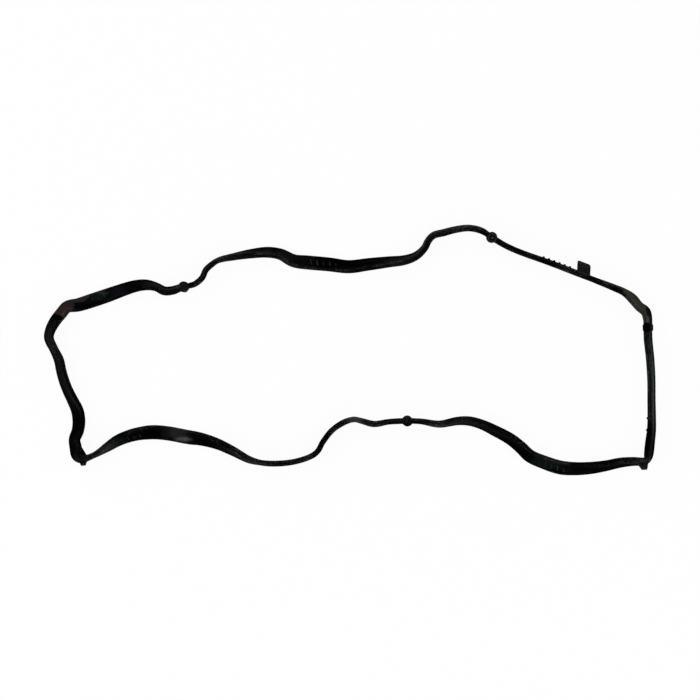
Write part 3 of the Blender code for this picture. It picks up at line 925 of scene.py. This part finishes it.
def patch_group():
    """A ragged patch round a centre: its strength in the middle, 0 outside it."""
    nodes, given, result = new_group(
        "patch", ("Position", "Centre", "Spread"), ("Softness", "Strength"), "Mask"
    )
    away = nodes.vector_math("SUBTRACT", given["Position"], given["Centre"])
    share = nodes.vector_math("DIVIDE", away.outputs["Vector"], given["Spread"])
    reached = nodes.vector_math("LENGTH", share.outputs["Vector"]).outputs["Value"]
    blotches = nodes.noise(given["Position"], *PATCH_NOISE)
    ragged = nodes.math(
        "MULTIPLY_ADD", nodes.math("SUBTRACT", blotches, NOISE_MIDDLE), given["Softness"], reached
    )
    rim = nodes.math("SUBTRACT", 1.0, given["Softness"])
    fading = nodes.ramp(ragged, 1.0, rim)
    nodes.put(result, Mask=nodes.math("MULTIPLY", fading, given["Strength"], clamp=True))
    return nodes.tree


def rim_dust_and_glint_group():
    """Dust, scuffs and painted glints in specks along the rims."""
    nodes, given, result = new_group("rim_wear", ("Position",), ("Rim", "Amount"), "Mask")
    specks = nodes.noise(given["Position"], *SPECK_NOISE)
    runs = nodes.noise(given["Position"], *RUN_NOISE)
    level = nodes.math("MULTIPLY", specks, nodes.math("ADD", runs, NOISE_MIDDLE))
    bright = nodes.ramp(level, *SPECK_RAMP)
    on_rim = nodes.math("MULTIPLY", bright, given["Rim"])
    nodes.put(result, Mask=nodes.math("MULTIPLY", on_rim, given["Amount"], clamp=True))
    return nodes.tree


def strip_streaks_group():
    """Streaks that run along the strip, as the mould and the flow of the rubber leave them."""
    nodes, given, result = new_group(
        "strip_streaks", (), ("Along", "Across", "Rise", "Length Scale", "Width Scale"), "Streaks"
    )
    place = nodes.add("ShaderNodeCombineXYZ")
    wide = given["Width Scale"]
    nodes.put(
        place,
        X=nodes.math("MULTIPLY", given["Along"], given["Length Scale"]),
        Y=nodes.math("MULTIPLY", given["Across"], wide),
        Z=nodes.math("MULTIPLY", given["Rise"], wide),
    )
    nodes.put(result, Streaks=nodes.noise(place.outputs["Vector"], *STREAK_NOISE))
    return nodes.tree


def lay_patches(nodes, patches, tone, position, finish):
    """Lay patches of the finish's colours over a tone: painted highlights, painted reflections and
    black laid back.
    """
    tree = bpy.data.node_groups.get("patch") or patch_group()
    for name, centre, spread, softness, strength in patches:
        patch = nodes.add("ShaderNodeGroup", f"{name} patch", node_tree=tree)
        nodes.put(
            patch, Position=position, Centre=Vector(centre) * MM,
            Spread=Vector((*spread, PATCH_RISE)) * MM, Softness=softness, Strength=strength,
        )
        tone = nodes.mix(patch.outputs["Mask"], tone, tuple(getattr(finish, name)))
    return tone


def rubber_material(finish):
    """Black moulded rubber: streaked lips with painted highlights, rims with dust and painted
    glints, patches of painted highlight and reflection, and a fine grain.
    """
    material = bpy.data.materials.new("black_rubber")
    material.use_nodes = True
    nodes = NodeTree(material.node_tree)
    shader = material.node_tree.nodes["Principled BSDF"]
    position = nodes.add("ShaderNodeTexCoord").outputs["Object"]
    along, across, rise = (nodes.attribute(name) for name in ("along", "across", "rise"))

    streaks_tree = strip_streaks_group()
    fine, coarse = (
        nodes.put(
            nodes.add("ShaderNodeGroup", label, node_tree=streaks_tree),
            Along=along, Across=across, Rise=rise, Length_Scale=lengthways, Width_Scale=crossways,
        ).outputs["Streaks"]
        for label, lengthways, crossways in (
            ("fine streaks", *FINE_STREAKS), ("coarse streaks", *COARSE_STREAKS),
        )
    )
    cloud = nodes.noise(position, *CLOUD_NOISE)
    mottle = nodes.noise(position, *MOTTLE_NOISE)
    clouded = nodes.math("ADD", cloud, coarse)
    faded = nodes.ramp(nodes.math("MULTIPLY_ADD", mottle, MOTTLE_SHARE, clouded), *FADED_RAMP)
    tone = nodes.mix(faded, tuple(finish.rubber), tuple(finish.faded))
    # Painted highlights and painted reflections, laid in patches over the tone
    tone = lay_patches(nodes, PAINTED_LIGHT_PATCHES, tone, position, finish)

    # The sealing lips get rubbed streaks and painted highlights in one lighter colour, and the ribs
    # are laid lighter in patches
    on_lips = nodes.ramp(rise, *LIP_RAMP)
    lip_streaks = nodes.ramp(nodes.math("MULTIPLY_ADD", fine, LIP_STREAK_SHARE, coarse), *LIP_STREAK_RAMP)
    often = nodes.ramp(nodes.noise(position, *LIP_NOISE), *PATCHY_RAMP)
    lip_wear_and_highlight = nodes.math("MULTIPLY", nodes.math("MULTIPLY", on_lips, lip_streaks), often)
    tone = nodes.mix(lip_wear_and_highlight, tone, tuple(finish.wear_and_highlight))
    patchy = nodes.ramp(nodes.noise(position, *RIB_NOISE), *PATCHY_RAMP)
    lighter_ribs = nodes.math("MULTIPLY", nodes.attribute("raised"), patchy)
    tone = nodes.mix(lighter_ribs, tone, tuple(finish.wear_and_highlight))

    # Dust and painted glints in specks along the rims
    rim_dust_and_glint_mask = nodes.add("ShaderNodeGroup", "rim wear", node_tree=rim_dust_and_glint_group())
    nodes.put(rim_dust_and_glint_mask, Position=position, Rim=nodes.attribute("rim"), Amount=RIM_DUST_AND_GLINT)
    tone = nodes.mix(rim_dust_and_glint_mask.outputs["Mask"], tone, tuple(finish.dust_and_glint))
    # Black laid back in patches over the marks and the painted reflections
    black_back = [("rubber", *patch) for patch in BLACK_BACK_PATCHES]
    tone = lay_patches(nodes, black_back, tone, position, finish)

    dull = nodes.math("MULTIPLY_ADD", faded, FADED_DULLS, finish.roughness - CLEAN_SHINE)
    dull = nodes.math("MULTIPLY_ADD", fine, STREAKS_DULL, dull)
    dull = nodes.math("MULTIPLY_ADD", rim_dust_and_glint_mask.outputs["Mask"], DUST_DULLS, dull, clamp=True)

    grain = nodes.noise(position, *GRAIN_NOISE)
    relief = nodes.math("MULTIPLY_ADD", fine, GRAIN_STREAKS, grain)
    bump = nodes.add("ShaderNodeBump")
    nodes.put(bump, Strength=GRAIN_STRENGTH, Distance=finish.grain, Height=relief)

    nodes.put(
        shader, Base_Color=tone, Roughness=dull, Normal=bump.outputs["Normal"],
        Specular_IOR_Level=SPECULAR,
    )
    return material


def floor_material(look):
    """A floor that the camera sees as white, and that still keeps a soft shadow."""
    material = bpy.data.materials.new("white_floor")
    material.use_nodes = True
    nodes = NodeTree(material.node_tree)
    material.node_tree.nodes.clear()
    seen = seen_rays(nodes)
    matt = nodes.add("ShaderNodeBsdfDiffuse")
    nodes.put(matt, Color=nodes.mix(seen, tuple(look.bounce), tuple(look.floor)))
    glow = nodes.add("ShaderNodeEmission")
    nodes.put(glow, Color=WHITE, Strength=1.0)
    mixed = nodes.add("ShaderNodeMixShader")
    nodes.feed(mixed.inputs["Fac"], nodes.math("MULTIPLY", seen, FLOOR_GLOW))
    nodes.feed(mixed.inputs[1], matt.outputs["BSDF"])
    nodes.feed(mixed.inputs[2], glow.outputs["Emission"])
    nodes.put(nodes.add("ShaderNodeOutputMaterial"), Surface=mixed.outputs["Shader"])
    return material


def grey_of(nodes, level):
    """A grey colour of a level."""
    node = nodes.add("ShaderNodeCombineColor")
    nodes.put(node, Red=level, Green=level, Blue=level)
    return node.outputs["Color"]


def seen_rays(nodes):
    """1 for the rays that the background shows to, 0 for those that light the object."""
    path = nodes.add("ShaderNodeLightPath")
    mirrored = nodes.math(
        "MAXIMUM", path.outputs["Is Glossy Ray"], path.outputs["Is Transmission Ray"]
    )
    return nodes.math("MAXIMUM", path.outputs["Is Camera Ray"], mirrored)


def add_lamp(name, place, size, power):
    """A soft square lamp that looks at the middle of the loop."""
    data = bpy.data.lights.new(name, "AREA")
    data.shape = "SQUARE"
    data.size = size
    data.energy = power
    lamp = new_object(name, data, bpy.context.scene.collection)
    lamp.location = place
    lamp.rotation_euler = Vector(place).to_track_quat("Z", "Y").to_euler()
    lamp.visible_camera = False


class GASKET_OT_strip(Operator):
    """Sweep the strip's section round the route"""

    bl_idname = "gasket.strip"
    bl_label = "Sweep Strip"

    def execute(self, context):
        sizes = context.scene.gasket_strip
        shape = swept_strip(current_route(context), sizes)
        new_piece(STRIP, shape, context.scene.collection)
        return {"FINISHED"}


class GASKET_OT_bosses(Operator):
    """Mould the three round bosses, and the pip beside the left one"""

    bl_idname = "gasket.bosses"
    bl_label = "Mould Bosses"

    def execute(self, context):
        sizes, strip, route = moulding(context)
        height = strip.height + sizes.boss_proud
        bosses = {
            "front_boss": (round_boss(sizes, height), FRONT_BOSS_PLACE),
            "back_boss": (pin_boss(sizes, height), BACK_BOSS_PLACE),
            "left_boss": (round_boss(sizes, height), LEFT_BOSS_PLACE),
        }
        for name, (shape, place) in bosses.items():
            add_detail(name, shape, route.frame(route.distance_near(place), True))
        pip = cylinder(sizes.pip_diameter, strip.height - 2 * sizes.pip_inset, PIP_SIDES)
        soften(pip, cap_edges(pip), sizes.edge, 3)
        beside = Matrix.Translation((sizes.pip_sink - sizes.boss_diameter / 2, 0, 0))
        add_detail("pip", pip, route.frame(route.distance_near(PIP_PLACE)) @ beside)
        return {"FINISHED"}


class GASKET_OT_collar(Operator):
    """Mould the collar round the right side of the strip"""

    bl_idname = "gasket.collar"
    bl_label = "Mould Collar"

    def execute(self, context):
        sizes, strip, route = moulding(context)
        shape = collar(sizes, strip.thickness, strip.height)
        add_detail("collar", shape, route.frame(route.distance_near(COLLAR_PLACE)))
        return {"FINISHED"}


class GASKET_OT_tab(Operator):
    """Mould the flat tab on the outer side"""

    bl_idname = "gasket.tab"
    bl_label = "Mould Tab"

    def execute(self, context):
        sizes, strip, route = moulding(context)
        shape = tab(sizes, strip.thickness / 2)
        add_detail("tab", shape, route.frame(route.distance_near(TAB_PLACE), True))
        return {"FINISHED"}


class GASKET_OT_teeth(Operator):
    """Mould the row of grip teeth near the tab and the two nubs on the right side"""

    bl_idname = "gasket.teeth"
    bl_label = "Mould Teeth"

    def execute(self, context):
        sizes, strip, route = moulding(context)
        outer_face = Matrix.Translation((strip.thickness / 2, 0, 0))
        high_on_inner_face = Matrix.Translation((-strip.thickness / 2, 0, sizes.nub_rise))
        start = route.distance_near(TEETH_PLACE)
        for number in range(sizes.tooth_count):
            shape = tooth(sizes, strip.height - 2 * sizes.tooth_inset)
            place = route.frame(start + number * sizes.tooth_pitch)
            add_detail(f"tooth_{number + 1}", shape, place @ outer_face)
        for number, place in enumerate(NUB_PLACES, 1):
            shape = tooth(sizes, strip.height - 2 * sizes.nub_inset)
            place = route.frame(route.distance_near(place))
            add_detail(f"nub_{number}", shape, place @ high_on_inner_face)
        return {"FINISHED"}


class GASKET_OT_corners(Operator):
    """Mould the lugs and the web of the two front corners"""

    bl_idname = "gasket.corners"
    bl_label = "Mould Corners"

    def execute(self, context):
        sizes, strip, route = moulding(context)
        for number, (place, width, reach, slant) in enumerate(CORNER_LUGS, 1):
            shape = lug(sizes, strip, width, reach, slant)
            add_detail(f"lug_{number}", shape, route.frame(route.distance_near(place)))
        web_place = route.frame(route.distance_near(CORNER_WEB_PLACE), True)
        add_detail("corner_web", corner_web(sizes), web_place)
        return {"FINISHED"}


class GASKET_OT_ribs(Operator):
    """Mould rows of low plain ribs on the outer face"""

    bl_idname = "gasket.ribs"
    bl_label = "Mould Ribs"

    def execute(self, context):
        sizes, strip, route = moulding(context)
        face = strip.thickness / 2 - strip.relief_depth
        for row, (place, count, rise) in enumerate(RIB_ROWS, 1):
            start = route.distance_near(place)
            for number in range(count):
                there = route.frame(start + number * sizes.rib_pitch)
                on_face = there @ Matrix.Translation((face, 0, rise))
                add_detail(f"rib_{row}_{number + 1}", rib(sizes), on_face)
        return {"FINISHED"}


class GASKET_OT_join(Operator):
    """Join the strip and what is moulded on it into one mesh, and give it its rubber"""

    bl_idname = "gasket.join"
    bl_label = "Join Moulding"

    def execute(self, context):
        strip = bpy.data.objects[STRIP]
        details = details_collection()
        joined = strip.modifiers.new("join_details", "BOOLEAN")
        joined.operation = "UNION"
        joined.solver = "EXACT"
        joined.operand_type = "COLLECTION"
        joined.collection = details
        graph = context.evaluated_depsgraph_get()
        mesh = bpy.data.meshes.new_from_object(strip.evaluated_get(graph), depsgraph=graph)
        mesh.name = GASKET
        for item in (strip, *details.objects):
            bpy.data.objects.remove(item)
        bpy.data.collections.remove(details)
        mark_surface(mesh, current_route(context), context.scene.gasket_strip)
        mesh.shade_smooth()
        mesh.set_sharp_from_angle(angle=SHARP_BEND)
        mesh.materials.clear()
        mesh.materials.append(rubber_material(context.scene.gasket_rubber))
        gasket = new_object(GASKET, mesh, context.scene.collection)
        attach(gasket, "root")
        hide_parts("gasket")
        return {"FINISHED"}


class GASKET_OT_stage(Operator):
    """Set up the white floor, the soft lamps and the camera above the loop"""

    bl_idname = "gasket.stage"
    bl_label = "Set Up Stage"

    def execute(self, context):
        look = context.scene.gasket_studio
        scene = context.scene
        scene.view_settings.view_transform = "Standard"

        shape = bmesh.new()
        bmesh.ops.create_grid(shape, x_segments=1, y_segments=1, size=look.floor_size / 2)
        floor = new_piece("floor", shape, scene.collection)
        floor.data.materials.append(floor_material(look))

        world = bpy.data.worlds.new("studio_world")
        world.use_nodes = True
        scene.world = world
        nodes = NodeTree(world.node_tree)
        background = world.node_tree.nodes["Background"]
        direction = nodes.add("ShaderNodeSeparateXYZ")
        nodes.put(direction, Vector=nodes.add("ShaderNodeTexCoord").outputs["Generated"])
        overhead = nodes.ramp(direction.outputs["Z"], *OVERHEAD_RAMP)
        level = nodes.math("MULTIPLY_ADD", overhead, look.zenith - look.world, look.world)
        light = nodes.mix(seen_rays(nodes), grey_of(nodes, level), WHITE)
        nodes.put(background, Color=light)

        for name, place, size, power in LAMPS:
            add_lamp(name, place, size, getattr(look, power))

        data = bpy.data.cameras.new("camera")
        data.lens = look.lens
        data.sensor_width = look.sensor
        data.clip_end = CAMERA_SEES
        camera = new_object("camera", data, scene.collection)
        camera.location = (0.0, 0.0, look.camera_height)
        scene.camera = camera
        return {"FINISHED"}


OPERATORS = (
    GASKET_OT_strip, GASKET_OT_bosses, GASKET_OT_collar, GASKET_OT_tab, GASKET_OT_teeth,
    GASKET_OT_corners, GASKET_OT_ribs, GASKET_OT_join, GASKET_OT_stage,
)


class GASKET_PT_sidebar(Panel):
    """The gasket's sizes, colours and steps"""

    bl_idname = "GASKET_PT_sidebar"
    bl_label = "Gasket"
    bl_space_type = "VIEW_3D"
    bl_region_type = "UI"
    bl_category = "Gasket"

    def draw(self, context):
        for group in PROPERTIES:
            settings = getattr(context.scene, group)
            column = self.layout.box().column()
            for name in settings.bl_rna.properties.keys():
                if name not in {"rna_type", "name"}:
                    column.prop(settings, name)
        for operator in OPERATORS:
            self.layout.operator(operator.bl_idname)


PROPERTIES = {
    "gasket_strip": StripSizes,
    "gasket_details": DetailSizes,
    "gasket_rubber": RubberFinish,
    "gasket_studio": StudioLook,
}


def register():
    """Register the properties, the operators and the panel."""
    for name, group in PROPERTIES.items():
        bpy.utils.register_class(group)
        setattr(bpy.types.Scene, name, PointerProperty(type=group))
    for item in (*OPERATORS, GASKET_PT_sidebar):
        bpy.utils.register_class(item)


def unregister():
    """Take away what register added."""
    for item in reversed((*OPERATORS, GASKET_PT_sidebar)):
        bpy.utils.unregister_class(item)
    for name, group in PROPERTIES.items():
        delattr(bpy.types.Scene, name)
        bpy.utils.unregister_class(group)


def main():
    """Build the gasket and its stage."""
    register()
    bpy.ops.gasket.strip()
    bpy.ops.gasket.bosses()
    bpy.ops.gasket.collar()
    bpy.ops.gasket.tab()
    bpy.ops.gasket.teeth()
    bpy.ops.gasket.corners()
    bpy.ops.gasket.ribs()
    bpy.ops.gasket.join()
    bpy.ops.gasket.stage()


if __name__ == "__main__":
    main()
